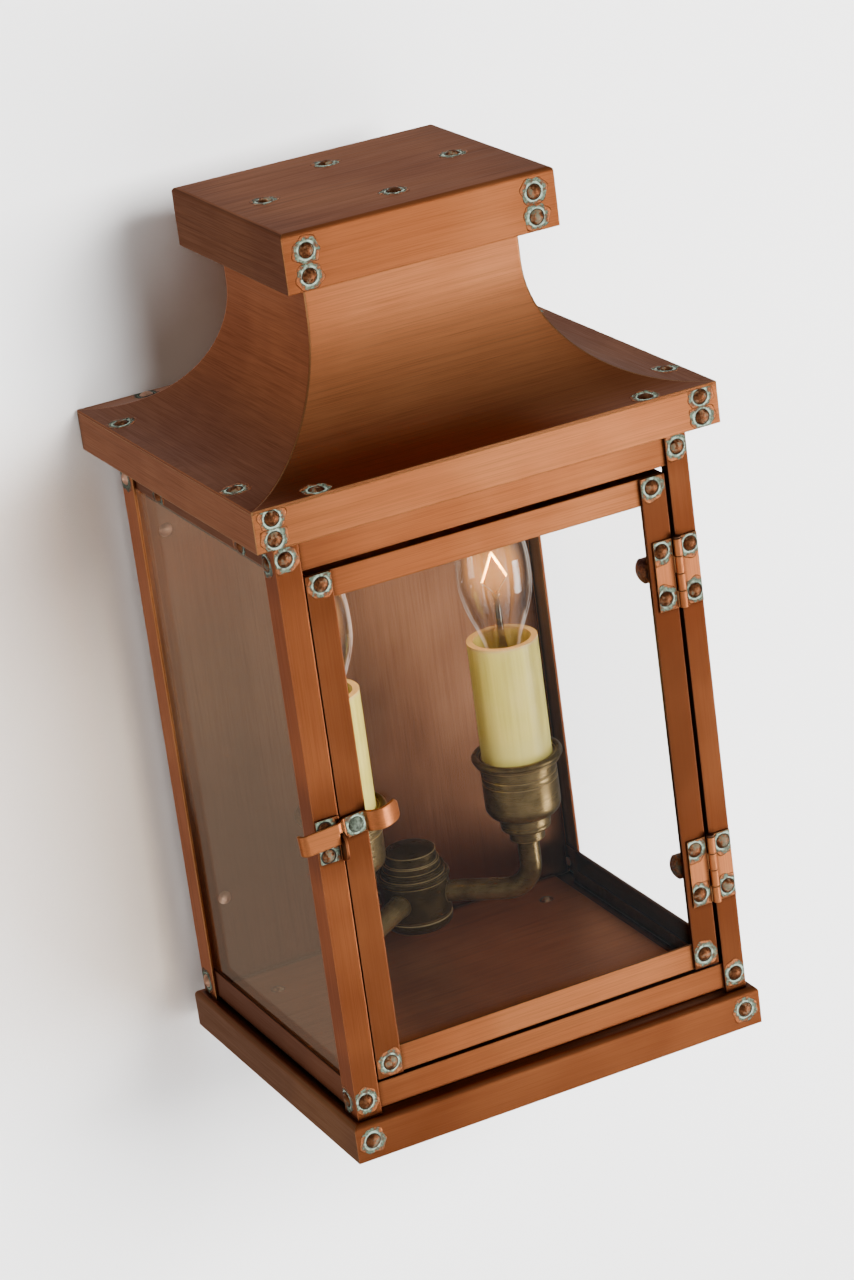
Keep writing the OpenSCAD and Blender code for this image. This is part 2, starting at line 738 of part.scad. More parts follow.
module cluster_body() color(brass) difference() {
    at_cluster() rotate_extrude() difference() {
        union() {
            translate([0, cluster_low_h + 4]) square([cluster_r, cluster_top_h - cluster_low_h - 4]);
            translate([0, cluster_low_h]) square([cluster_r - 4, 6]);
            translate([cluster_r - 4, cluster_low_h + 4]) circle(4);
        }
        translate([0, cluster_low_h + 2]) square([cluster_r - 1.6, 40]);
        translate([cluster_r, cluster_low_h + 6]) circle(0.5);
    }
    for (s = [-1, 1]) arm_frame(s) rotate([0, 90, 0]) cylinder(r = arm_r + hole_slack, h = 30);
    on_front(0, nipple_h, 0) cylinder(r = nipple_r + hole_slack, h = 38);
}

module cluster_cap() color(brass) at_cluster() rotate_extrude() {
    top_r = 12.2;
    translate([0, cluster_top_h]) square([cluster_r, 2.6]);
    translate([cluster_r - 0.4, cluster_top_h + 1.3]) circle(1.3);
    translate([0, cluster_top_h + 2.6 - eps]) square([15, 3]);
    translate([14.4, cluster_top_h + 5]) circle(1);
    translate([0, cluster_top_h + 5.6 - eps]) square([13.4, 3.4]);
    translate([0, cluster_top_h + 9 - eps]) square([top_r, 5]);
    translate([0, cluster_top_h + 14 - eps]) intersection() {
        translate([0, 1.4 - 54]) circle(54);
        square([top_r, 1.4]);
    }
}

module cluster_nipple() color(brass) on_front(0, nipple_h, -8) difference() {
    cylinder(r = nipple_r, h = 28);
    translate([0, 0, -1]) cylinder(r = 3.6, h = 30);
}

// The hex nut in the wall pan, and the round flange against the back panel
module cluster_nuts() color(brass) difference() {
    union() {
        on_front(0, nipple_h, y_rear + 3) cylinder(r = 8, h = 3, $fn = 6);
        on_front(0, nipple_h, panel_front) {
            cylinder(r = 13, h = 2);
            cylinder(r = 8, h = 5);
        }
    }
    on_front(0, nipple_h, 0) cylinder(r = nipple_r + hole_slack, h = 40);
}

module arm(side) color(brass) arm_frame(side) difference() {
    run = arm_span - arm_bend;
    union() {
        translate([13, 0, 0]) rotate([0, 90, 0]) cylinder(r = arm_r, h = run - 13);
        translate([run, 0, arm_bend]) rotate([90, 90, 0]) rotate_extrude(angle = 90)
            translate([arm_bend, 0]) circle(arm_r);
        translate([arm_span, 0, arm_bend]) cylinder(r = arm_r, h = cup_floor_h - arm_h - arm_bend - 4);
    }
    translate([12, 0, 0]) rotate([0, 90, 0]) cylinder(r = arm_bore, h = run - 12);
    translate([run, 0, arm_bend]) rotate([90, 90, 0]) rotate_extrude(angle = 90)
        translate([arm_bend, 0]) circle(arm_bore);
    translate([arm_span, 0, arm_bend]) cylinder(r = arm_bore, h = 40);
}

module cup(side) color(brass) at_candle(side) rotate_extrude() difference() {
    wall_r = sleeve_r + 1.3;
    union() {
        translate([arm_r + hole_slack, collar_low_h]) square([3, 6]);
        translate([arm_r + hole_slack, collar_low_h + 5]) square([5, 3]);
        translate([arm_r + 5, collar_low_h + 6.5]) circle(1.5);
        translate([arm_r + hole_slack, 84]) square([6.6, 5]);
        translate([arm_r + hole_slack, 88]) square([wall_r - 6 - arm_r, 8]);
        translate([wall_r - 6, 94]) circle(6);
        translate([arm_r + hole_slack, 94]) square([wall_r - arm_r - hole_slack, cup_rim_h - 4 - 94]);
        translate([sleeve_r, cup_rim_h - 4.4]) square([3.4, 3]);
        translate([wall_r + 1.9, cup_rim_h - 1.6]) circle(1.6);
        translate([sleeve_r, cup_rim_h - 2.9]) square([3, 1.6]);
    }
    translate([0, cup_floor_h]) square([sleeve_r + 0.2, 40]);
    square([arm_r + hole_slack, 100]);
    for (h = [106.6, 110]) translate([wall_r, h]) circle(0.45);
}

module socket(side) color("#2c2a28") at_candle(side) rotate_extrude() difference() {
    union() {
        translate([0, cup_floor_h]) square([socket_r, socket_top_h - cup_floor_h - 3]);
        translate([0, cup_floor_h]) square([socket_r - 1.4, socket_top_h - cup_floor_h]);
    }
    translate([0, socket_well_h]) square([screw_r + pin_slack, 40]);
    translate([0, 0]) square([3, cup_floor_h + 20]);
}

module sleeve(side) color(ivory) at_candle(side) rotate_extrude()
    translate([sleeve_bore, cup_floor_h]) square([sleeve_r - sleeve_bore, sleeve_top_h - cup_floor_h]);

// ---------- bulbs ----------

// Radius of the bulb at a height: a soft shoulder up to the widest point, then a blunt flame tip
function shoulder(h, r0, r1) = r0 + (r1 - r0) * (1 - cos(180 * (h - neck_h) / (bulb_wide_h - neck_h))) / 2;
function flame(h, r1, tip) = r1 * cos(90 * pow((h - bulb_wide_h) / (tip - bulb_wide_h), 1.35));
function bulb_side(r0, r1, tip) = concat(
    [for (i = [0 : bulb_steps])
        let (h = neck_h + i * (bulb_wide_h - neck_h) / bulb_steps) [shoulder(h, r0, r1), h]],
    [for (i = [1 : bulb_steps - 1])
        let (h = bulb_wide_h + i * (tip - bulb_wide_h) / bulb_steps) [flame(h, r1, tip), h]]
);

module bulb_glass(side) color("#f4f4ee", 0.4) at_candle(side) rotate_extrude() difference() {
    polygon(concat([[0, neck_h]], bulb_side(screw_r + 0.3, bulb_r, bulb_tip_h), [[0, bulb_tip_h]]));
    polygon(concat([[0, neck_h - eps]],
        bulb_side(screw_r + 0.3 - bulb_wall, bulb_r - bulb_wall, bulb_tip_h - bulb_wall),
        [[0, bulb_tip_h - bulb_wall]]));
}

module bulb_base(side) color(brass) at_candle(side) rotate_extrude() {
    translate([0, socket_well_h + 2]) square([screw_r, neck_h - socket_well_h - 2]);
    translate([0, socket_well_h]) square([2.4, 3]);
}

// A straight wire between two points of the X-Z plane
module wire(a, b, r) {
    d = b - a;
    translate([a[0], 0, a[1]]) rotate([0, atan2(d[0], d[1]), 0]) cylinder(r = r, h = norm(d));
}

// The glass stem with its bead, two lead wires and the filament folded over them
module bulb_stem(side) color("#ffd890") at_candle(side) {
    bead_z = neck_h + 37;
    fold = [0, neck_h + 57.4];
    weld_r = 0.8;
    rotate_extrude() {
        translate([0, neck_h]) square([4, 7]);
        polygon([[0, neck_h + 6], [3, neck_h + 6], [1.4, neck_h + 23], [1.4, bead_z], [0, bead_z]]);
        translate([0, bead_z - 1.5]) square([2.2, 3.4]);
    }
    for (s = [-1, 1]) {
        foot = [s * 6.4, neck_h + 44];
        wire([s * 0.8, bead_z], foot, 0.45);
        wire(foot, fold, 0.6);
        translate([foot[0], 0, foot[1]]) sphere(weld_r);
    }
    translate([fold[0], 0, fold[1]]) sphere(weld_r);
}

// ---------- assembly ----------

base_tray();
floor_panel();
front_post(-1);  // post_front_left
front_post(1);  // post_front_right
rear_post(-1);  // post_rear_left
rear_post(1);  // post_rear_right
header_rail();
sill_rail();
side_rail(-1, side_top_low_h, post_top_h);  // side_rail_top_left
side_rail(1, side_top_low_h, post_top_h);  // side_rail_top_right
side_rail(-1, sill_low_h, side_low_top_h);  // side_rail_low_left
side_rail(1, sill_low_h, side_low_top_h);  // side_rail_low_right
back_panel();
side_glass(-1);  // side_glass_left
side_glass(1);  // side_glass_right
glass_channels();
roof_skirt();
roof_front();
roof_right();
roof_rear();
roof_left();
roof_cap();
wall_pan();
mounting_bar();
hang_screws();
ground_screw();
body_rivets();
roof_rivets();
hinge_leaves_post();
hinge_pins();
latch_keeper();
door_stile(-1);  // door_stile_left
door_stile(1);  // door_stile_right
door_rail_top();
door_rail_low();
door_glass();
glass_studs();
door_rivets();
hinge_leaves_door();
latch_rivet();
latch_lever();
cluster_body();
cluster_cap();
cluster_nipple();
cluster_nuts();
arm(-1);  // arm_left
arm(1);  // arm_right
cup(-1);  // cup_left
cup(1);  // cup_right
socket(-1);  // socket_left
socket(1);  // socket_right
sleeve(-1);  // sleeve_left
sleeve(1);  // sleeve_right
bulb_base(-1);  // bulb_base_left
bulb_base(1);  // bulb_base_right
bulb_stem(-1);  // bulb_stem_left
bulb_stem(1);  // bulb_stem_right
bulb_glass(-1);  // bulb_glass_left
bulb_glass(1);  // bulb_glass_right
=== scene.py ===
import math
import random

import bmesh
import bpy
from mathutils import Matrix, Vector


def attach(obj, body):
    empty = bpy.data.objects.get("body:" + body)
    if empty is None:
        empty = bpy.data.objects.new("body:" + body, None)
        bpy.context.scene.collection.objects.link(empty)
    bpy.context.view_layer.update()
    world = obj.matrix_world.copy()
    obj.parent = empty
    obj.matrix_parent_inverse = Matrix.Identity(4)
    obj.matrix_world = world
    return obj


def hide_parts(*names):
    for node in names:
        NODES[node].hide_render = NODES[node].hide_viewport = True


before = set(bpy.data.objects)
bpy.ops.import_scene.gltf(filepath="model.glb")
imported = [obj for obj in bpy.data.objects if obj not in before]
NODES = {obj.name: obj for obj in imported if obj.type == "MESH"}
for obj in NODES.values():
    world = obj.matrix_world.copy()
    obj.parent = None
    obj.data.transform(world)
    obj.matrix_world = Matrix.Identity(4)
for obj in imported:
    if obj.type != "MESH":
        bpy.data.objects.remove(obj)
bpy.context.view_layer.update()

MM = 0.001


# ---------- camera, stage and light ----------

def add_camera():
    az, el, roll = (math.radians(a) for a in (-23.94, 20.95, -7.80))
    back = Vector((math.sin(az) * math.cos(el), -math.cos(az) * math.cos(el), math.sin(el)))
    right = Vector((0, 0, 1)).cross(back).normalized()
    up = back.cross(right)
    side = right * math.cos(roll) + up * math.sin(roll)
    top = up * math.cos(roll) - right * math.sin(roll)
    data = bpy.data.cameras.new("camera")
    data.lens, data.sensor_width = 113.75, 36
    cam = bpy.data.objects.new("camera", data)
    cam.matrix_world = Matrix((side, top, back)).transposed().to_4x4()
    cam.location = (-0.6830, -1.6384, 0.6376)
    bpy.context.scene.collection.objects.link(cam)
    bpy.context.scene.camera = cam


def link(name, mesh, material, body=None):
    ob = bpy.data.objects.new(name, mesh)
    bpy.context.scene.collection.objects.link(ob)
    mesh.materials.append(material)
    if body:
        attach(ob, body)
    return ob


def area_light(name, at, size, power, colour=(1, 1, 1), to=(0, -0.09, 0)):
    data = bpy.data.lights.new(name, "AREA")
    data.shape, data.size, data.energy, data.color = "SQUARE", size, power, colour
    ob = bpy.data.objects.new(name, data)
    ob.location = at
    ob.rotation_mode = "QUATERNION"
    ob.rotation_quaternion = (Vector(to) - Vector(at)).to_track_quat("-Z", "Y")
    bpy.context.scene.collection.objects.link(ob)
    return ob


def add_stage():
    wall = bpy.data.meshes.new("wall")
    half, back, low, high, near = 3, 0.0006, -0.9, 2.4, -4
    wall.from_pydata([(-half, back, low), (half, back, low), (half, back, high), (-half, back, high)], [],
                     [(0, 1, 2, 3)])
    floor = bpy.data.meshes.new("floor")
    floor.from_pydata([(-half, back, low), (-half, near, low), (half, near, low), (half, back, low)], [],
                      [(0, 1, 2, 3)])
    for name, mesh in (("wall", wall), ("floor", floor)):
        ob = link(name, mesh, plaster(name))
        ob.visible_glossy = False


# Soft glows of the world that the sheet reflects: direction, how narrow, and colour
LOBES = (((0.38, -0.85, -0.32), 3.0, (0.64, 0.64, 0.64)),
         ((0.38, 0.85, 0.30), 3.0, (0.25, 0.25, 0.25)),
         ((-0.45, 0.80, -0.30), 3.0, (0.28, 0.21, 0.16)),
         ((-0.85, -0.38, -0.36), 9.0, (0.85, 0.82, 0.78)),
         ((0.38, -0.36, 0.85), 8.0, (0.20, 0.20, 0.20)))
# The two bulbs, by side and x in mm
BULBS = (("left", -45.5), ("right", 45.5))


def add_lights():
    # these light the wall, the candles and whatever else is matt
    # the sheet reflects the world and the softbox
    for ob in (area_light("key", (0.85, -2.5, 0.85), 1.3, 250, (1.0, 0.995, 0.985)),
               area_light("fill", (-1.3, -2.2, 1.4), 1.8, 13, (1.0, 0.84, 0.70)),
               area_light("lift", (0.3, -2.2, -0.7), 1.4, 28)):
        ob.visible_glossy = False
    area_light("softbox", (1.7, -1.5, -0.75), 0.9, 20, (1.0, 0.97, 0.94))
    for side, x in BULBS:
        data = bpy.data.lights.new("lit_" + side, "POINT")
        data.energy, data.color, data.shadow_soft_size = 0.16, (1.0, 0.58, 0.28), 0.004
        ob = bpy.data.objects.new("lit_" + side, data)
        ob.location = (x * MM, -0.081, 0.013)
        ob.visible_glossy = False
        bpy.context.scene.collection.objects.link(ob)
    world = bpy.data.worlds.new("world")
    bpy.context.scene.world = world
    world.cycles_visibility.diffuse = False
    world.use_nodes = True
    t = Net(world.node_tree)
    way = t.new("ShaderNodeTexCoord").outputs["Generated"]
    glow = (0.085, 0.086, 0.088)
    for d, power, gain in LOBES:
        dot = t.vmath("DOT_PRODUCT", way, tuple(Vector(d).normalized()))
        lobe = t.math("POWER", t.math("MAXIMUM", dot, 0.0), power)
        n = t.new("ShaderNodeVectorMath", operation="MULTIPLY_ADD")
        for i, v in enumerate((lobe, gain, glow)):
            t.set(n.inputs[i], v)
        glow = n.outputs[0]
    back = t.new("ShaderNodeBackground")
    t.join(glow, back.inputs["Color"])
    t.join(back.outputs[0], t.new("ShaderNodeOutputWorld").inputs["Surface"])


# ---------- node helpers ----------

class Net:
    """A node tree, with short calls that make one node and return its output."""

    def __init__(self, tree):
        self.tree = tree
        tree.nodes.clear()
        self.cache = {}
        self.round = None

    def new(self, kind, **values):
        n = self.tree.nodes.new(kind)
        for k, v in values.items():
            setattr(n, k, v)
        return n

    def join(self, a, b):
        self.tree.links.new(a, b)

    def set(self, socket, value):
        if isinstance(value, bpy.types.NodeSocket):
            self.join(value, socket)
        elif value is not None:
            if isinstance(value, (tuple, list)) and len(value) == 3 and socket.type == "RGBA":
                value = (*value, 1)
            socket.default_value = value

    def coord(self, which):
        if which not in self.cache:
            self.cache[which] = self.new("ShaderNodeTexCoord").outputs[which]
        return self.cache[which]

    def math(self, op, a, b=None, c=None, clamp=False):
        n = self.new("ShaderNodeMath", operation=op, use_clamp=clamp)
        for i, v in enumerate((a, b, c)):
            self.set(n.inputs[i], v)
        return n.outputs[0]

    def vmath(self, op, a, b=None):
        n = self.new("ShaderNodeVectorMath", operation=op)
        self.set(n.inputs[0], a)
        self.set(n.inputs[1], b)
        return n.outputs["Value" if op in ("DOT_PRODUCT", "LENGTH", "DISTANCE") else "Vector"]

    def split(self, v):
        n = self.new("ShaderNodeSeparateXYZ")
        self.join(v, n.inputs[0])
        return n.outputs

    def noise(self, vector, scale, detail=2.0, rough=0.5, distortion=0.0):
        n = self.new("ShaderNodeTexNoise")
        self.set(n.inputs["Vector"], vector)
        for k, v in (("Scale", scale), ("Detail", detail), ("Roughness", rough), ("Distortion", distortion)):
            n.inputs[k].default_value = v
        return n.outputs["Fac"]

    def scaled(self, vector, xyz):
        return self.vmath("MULTIPLY", vector, xyz)

    def ramp(self, value, low, high, to_low=0.0, to_high=1.0, smooth=True):
        n = self.new("ShaderNodeMapRange", interpolation_type="SMOOTHSTEP" if smooth else "LINEAR")
        self.set(n.inputs["Value"], value)
        for k, v in (("From Min", low), ("From Max", high), ("To Min", to_low), ("To Max", to_high)):
            self.set(n.inputs[k], v)
        return n.outputs["Result"]

    def mix(self, factor, a, b):
        n = self.new("ShaderNodeMix", data_type="RGBA")
        self.set(n.inputs["Factor"], factor)
        self.set(n.inputs[6], a)
        self.set(n.inputs[7], b)
        return n.outputs[2]

    def blend(self, factor, a, b):
        n = self.new("ShaderNodeMix", data_type="FLOAT")
        self.set(n.inputs[0], factor)
        self.set(n.inputs[2], a)
        self.set(n.inputs[3], b)
        return n.outputs[0]

    def edge(self, radius, low=0.02, high=0.20):
        """1 on the folded and cut edges of sheet, 0 on its faces. Keeps the rounded normal in self.round."""
        bevel = self.new("ShaderNodeBevel", samples=4)
        bevel.inputs["Radius"].default_value = radius
        self.round = bevel.outputs[0]
        true = self.new("ShaderNodeNewGeometry").outputs["Normal"]
        turn = self.math("SUBTRACT", 1.0, self.vmath("DOT_PRODUCT", bevel.outputs[0], true))
        return self.ramp(turn, low, high)

    def corner(self, distance, low, high):
        """1 in corners and beside raised parts, 0 in the open."""
        ao = self.new("ShaderNodeAmbientOcclusion", samples=4)
        ao.inputs["Distance"].default_value = distance
        return self.ramp(self.math("SUBTRACT", 1.0, ao.outputs["AO"]), low, high)

    def bump(self, height, strength, distance, normal=None):
        n = self.new("ShaderNodeBump")
        n.inputs["Strength"].default_value = strength
        n.inputs["Distance"].default_value = distance
        self.set(n.inputs["Height"], height)
        self.set(n.inputs["Normal"], normal)
        return n.outputs[0]

    def shader(self, **values):
        n = self.new("ShaderNodeBsdfPrincipled")
        for k, v in values.items():
            self.set(n.inputs[k.replace("_", " ")], v)
        return n

    def out(self, shader):
        self.join(shader, self.new("ShaderNodeOutputMaterial").inputs["Surface"])


def material(name):
    m = bpy.data.materials.new(name)
    m.use_nodes = True
    return m, Net(m.node_tree)


# ---------- materials ----------

def plaster(name):
    m, t = material(name)
    pos = t.coord("Object")
    soft = t.noise(pos, 3.0, 3)
    tone = t.mix(soft, (0.91, 0.91, 0.915), (0.94, 0.94, 0.945))
    if name == "wall":
        # painted warm shadow on the wall close beside the lantern's left side, from the occlusion of nearby
        # geometry and limited by position
        near = t.new("ShaderNodeAmbientOcclusion", samples=6)
        near.inputs["Distance"].default_value = 0.22
        x, _, z = t.split(pos)
        shade = t.ramp(near.outputs["AO"], 1.0, 0.62)
        shade = t.math("MULTIPLY", shade,
                       t.math("MULTIPLY", t.ramp(x, -0.088, -0.112), t.ramp(z, 0.13, 0.06)))
        shade = t.math("MULTIPLY", shade, t.ramp(z, -0.27, -0.17))
        tone = t.mix(shade, tone, t.scaled(tone, (0.62, 0.50, 0.41)))
    s = t.shader(Base_Color=tone, Roughness=0.9, Normal=t.bump(t.noise(pos, 220, 4), 0.05, 0.0004))
    see_through = t.new("ShaderNodeMixShader")
    t.join(t.new("ShaderNodeNewGeometry").outputs["Backfacing"], see_through.inputs[0])
    t.join(s.outputs[0], see_through.inputs[1])
    t.join(t.new("ShaderNodeBsdfTransparent").outputs[0], see_through.inputs[2])
    t.out(see_through.outputs[0])
    return m


def grain_vector(t, grain):
    """Object coordinates stretched so that noise on them runs along the brushed grain."""
    pos = t.coord("Object")
    if grain == "up":
        return t.scaled(pos, (1.0, 1.0, 0.012))
    along_x = t.scaled(pos, (0.012, 1.0, 1.0))
    along_y = t.scaled(pos, (1.0, 0.012, 1.0))
    n = t.split(t.coord("Normal"))
    side = t.math("GREATER_THAN", t.math("SUBTRACT", t.math("ABSOLUTE", n[0]), t.math("ABSOLUTE", n[1])),
                  0.03)
    pick = t.new("ShaderNodeMix", data_type="VECTOR")
    t.set(pick.inputs[0], side)
    t.set(pick.inputs[4], along_x)
    t.set(pick.inputs[5], along_y)
    return pick.outputs[1]


def copper_look(t, grain, light, mid, dark, wear=1.0, dirt=1.0, tarnish=(), ends=None):
    """Colour, roughness and height of brushed copper, with grime and painted shade in its corners, rubbing and
    a painted highlight on its edges, painted shade away from the middle in x and darker bands at given
    heights.
    """
    pos = t.coord("Object")
    vec = grain_vector(t, grain)
    fine = t.noise(vec, 2600, 3, 0.65)
    bands = t.noise(vec, 420, 3, 0.6)
    cloud = t.noise(pos, 11, 3, 0.5, 0.4)
    col = t.mix(t.ramp(cloud, 0.34, 0.66), mid, light)
    col = t.mix(t.ramp(bands, 0.42, 0.75, 0.0, 0.18), col, dark)
    col = t.mix(t.ramp(fine, 0.42, 0.75, 0.0, 0.28), col, dark)
    col = t.mix(t.ramp(fine, 0.25, 0.45, 0.16, 0.0), col, light)
    # darker bands round given heights, each with its centre, half width and fade in mm and its strength
    for centre, half, fade, power in tarnish:
        z = t.math("ABSOLUTE", t.math("SUBTRACT", t.split(pos)[2], centre * MM))
        worn = t.math("ADD", z, t.math("MULTIPLY", t.math("SUBTRACT", bands, 0.5), 0.02))
        col = t.mix(t.ramp(worn, half * MM, (half + fade) * MM, power, 0.0), col,
                    tuple(c * 0.8 for c in dark))
    # painted shade: the colour darkens towards both sides of the piece, away from its middle in x
    if ends:
        x = t.math("ADD", t.math("ABSOLUTE", t.split(pos)[0]),
                   t.math("MULTIPLY", t.math("SUBTRACT", bands, 0.5), 0.03))
        col = t.mix(t.ramp(x, ends[0] * MM, ends[1] * MM, 0.0, ends[2]), col, tuple(c * 0.9 for c in dark))
    # grime and painted shade: the colour darkens in corners and beside raised parts, in broad patches and in a
    # thin dark line close to each step
    if dirt:
        shade = t.corner(0.012, 0.30, 0.85)
        rough_shade = t.math("MULTIPLY", shade, t.ramp(t.noise(pos, 130, 4), 0.30, 0.60, 0.55, 1.0))
        col = t.mix(t.math("MULTIPLY", rough_shade, 0.85 * dirt), col, tuple(c * 0.22 for c in dark))
        col = t.mix(t.math("MULTIPLY", t.corner(0.0028, 0.10, 0.34), 0.8 * dirt), col,
                    tuple(c * 0.16 for c in dark))
    # rubbing and a painted highlight: the folded and cut edges are coloured brighter
    if wear:
        bright = tuple(min(1.0, c * 1.6 + 0.04) for c in light)
        col = t.mix(t.math("MULTIPLY", t.edge(0.0010), 0.9 * wear), col, bright)
    rough = t.ramp(fine, 0.3, 0.7, 0.34, 0.50)
    height = t.math("ADD", t.math("MULTIPLY", fine, 0.6), t.math("MULTIPLY", bands, 0.4))
    return col, rough, height


FILAMENT_Z = 0.0105
COPPER = dict(light=(0.80, 0.285, 0.104), mid=(0.64, 0.200, 0.068), dark=(0.24, 0.060, 0.019))


def copper(name, grain, bump=0.10, metal=1.0, left_tone=None, left_metal=1.0, **look):
    """Faces that look left get their colour multiplied by a given tone, painted light or shade on that side,
    and a metalness of their own.
    """
    m, t = material(name)
    col, rough, height = copper_look(t, grain, **{**COPPER, **look})
    # painted light and shade on one side: faces that look left are made lighter, darker or retinted
    if left_tone:
        leftward = t.math("LESS_THAN", t.split(t.coord("Normal"))[0], -0.5)
        col = t.mix(leftward, col, t.scaled(col, left_tone))
        metal = t.blend(leftward, metal, left_metal)
    s = t.shader(Base_Color=col, Metallic=metal, Roughness=rough,
                 Normal=t.bump(height, bump, 0.00012, t.round))
    t.out(s.outputs[0])
    return m


def patina(name, grain, mint=1.0, **look):
    """Verdigris round a rivet, on a patch whose UV holds the radius in mm / 6 and the angle."""
    m, t = material(name)
    col, rough, height = copper_look(t, grain, wear=0, **{**COPPER, **look})
    pos = t.coord("Object")
    r = t.split(t.coord("UV"))[0]
    rag = t.math("SUBTRACT", t.noise(pos, 240, 4, 0.7), 0.5)
    spots = t.noise(pos, 1300, 3, 0.7)
    rr = t.math("ADD", r, t.math("MULTIPLY", rag, 1.5))
    inside = t.ramp(rr, 0.96, 0.84)
    halo = t.ramp(rr, 1.25, 0.88, 0.0, 0.85)
    green = t.mix(t.ramp(spots, 0.38, 0.64), (0.026, 0.034, 0.022), (0.085, 0.115, 0.080))
    green = t.mix(t.ramp(t.noise(pos, 480, 3), 0.48, 0.60), green, (0.040, 0.022, 0.012))
    ring_in = t.ramp(r, 0.585, 0.625)
    ring_out = t.ramp(t.math("ADD", r, t.math("MULTIPLY", rag, 0.40)), 0.77, 0.69)
    ring = t.math("MULTIPLY", t.math("MULTIPLY", ring_in, ring_out),
                  t.ramp(t.noise(pos, 380, 3), 0.38, 0.58, 0.12 * mint, mint))
    green = t.mix(ring, green, (0.190, 0.250, 0.200))
    # painted contact shadow: a near-black ring at the foot of the rivet's dome
    green = t.mix(t.ramp(r, 0.61, 0.58), green, (0.010, 0.008, 0.006))
    col = t.mix(halo, col, (0.040, 0.018, 0.009))
    col = t.mix(inside, col, green)
    s = t.shader(Base_Color=col,
                 Metallic=t.math("SUBTRACT", 1.0, t.math("MAXIMUM", inside, t.math("MULTIPLY", halo, 0.5))),
                 Roughness=t.blend(inside, rough, 0.85),
                 Normal=t.bump(t.blend(inside, t.math("MULTIPLY", height, 0.15), spots), 0.5, 0.0002))
    t.out(s.outputs[0])
    return m


def dome_copper(name):
    m, t = material(name)
    pos = t.coord("Object")
    cloud = t.noise(pos, 900, 3, 0.6)
    col = t.mix(t.ramp(cloud, 0.35, 0.65), (0.20, 0.068, 0.028), (0.46, 0.180, 0.076))
    spot = t.ramp(t.noise(pos, 230, 4, 0.7), 0.50, 0.62, 0.0, 0.85)
    col = t.mix(spot, col, (0.055, 0.072, 0.048))
    lit = t.ramp(t.split(pos)[1], -0.03, -0.02)
    col = t.mix(lit, col, (0.86, 0.50, 0.34))
    # painted shade: darker at the foot of the dome
    col = t.mix(t.corner(0.0015, 0.12, 0.40), col, (0.030, 0.014, 0.008))
    s = t.shader(Base_Color=col, Metallic=t.math("SUBTRACT", 1.0, t.math("MULTIPLY", spot, 0.8)),
                 Roughness=t.ramp(cloud, 0.3, 0.7, 0.38, 0.6), Normal=t.bump(cloud, 0.35, 0.0002))
    t.out(s.outputs[0])
    return m


def green_dome(name):
    m, t = material(name)
    pos = t.coord("Object")
    cloud = t.noise(pos, 700, 4, 0.65)
    col = t.mix(t.ramp(cloud, 0.38, 0.62), (0.030, 0.036, 0.026), (0.105, 0.130, 0.098))
    s = t.shader(Base_Color=col, Metallic=0.35, Roughness=0.5, Normal=t.bump(cloud, 0.4, 0.0003))
    t.out(s.outputs[0])
    return m


def brass(name, tone=1.0):
    m, t = material(name)
    pos = t.coord("Object")
    turned = t.noise(t.scaled(pos, (0.05, 0.05, 1.0)), 2600, 3, 0.6)
    cloud = t.noise(pos, 70, 4, 0.6)
    low, high = (tuple(c * tone for c in base) for base in ((0.15, 0.100, 0.036), (0.30, 0.205, 0.085)))
    col = t.mix(t.ramp(cloud, 0.35, 0.65), low, high)
    col = t.mix(t.ramp(turned, 0.40, 0.70, 0.0, 0.40), col, (0.085, 0.055, 0.020))
    # painted shade: darker in corners and beside raised parts
    col = t.mix(t.corner(0.004, 0.35, 0.9), col, (0.045, 0.030, 0.014))
    # painted highlight: the edges are coloured bright gold
    col = t.mix(t.math("MULTIPLY", t.edge(0.0010), 0.9), col, (1.0, 0.72, 0.34))
    s = t.shader(Base_Color=col, Metallic=0.9, Roughness=t.ramp(turned, 0.3, 0.7, 0.26, 0.40),
                 Normal=t.bump(turned, 0.08, 0.0001, t.round))
    t.out(s.outputs[0])
    return m


def candle(name):
    m, t = material(name)
    pos = t.coord("Object")
    streak = t.noise(t.scaled(pos, (1.0, 1.0, 0.02)), 170, 4, 0.65)
    cloud = t.noise(pos, 60, 3)
    z = t.split(pos)[2]
    col = t.mix(t.ramp(streak, 0.35, 0.65), (0.36, 0.290, 0.048), (0.49, 0.410, 0.084))
    col = t.mix(t.ramp(cloud, 0.4, 0.7, 0.0, 0.35), col, (0.54, 0.43, 0.13))
    low = t.ramp(t.math("ADD", z, t.math("MULTIPLY", t.math("SUBTRACT", cloud, 0.5), 0.006)), -0.066, -0.074)
    col = t.mix(t.math("MULTIPLY", low, 0.55), col, (0.40, 0.34, 0.09))
    col = t.mix(t.ramp(z, -0.0262, -0.0246, 0.0, 0.8), col, (0.42, 0.27, 0.11))
    s = t.shader(Base_Color=col, Roughness=0.38, Subsurface_Weight=0.12, Subsurface_Scale=0.004,
                 Normal=t.bump(streak, 0.12, 0.0002))
    s.inputs["Subsurface Radius"].default_value = (1.0, 0.8, 0.4)
    t.out(s.outputs[0])
    return m


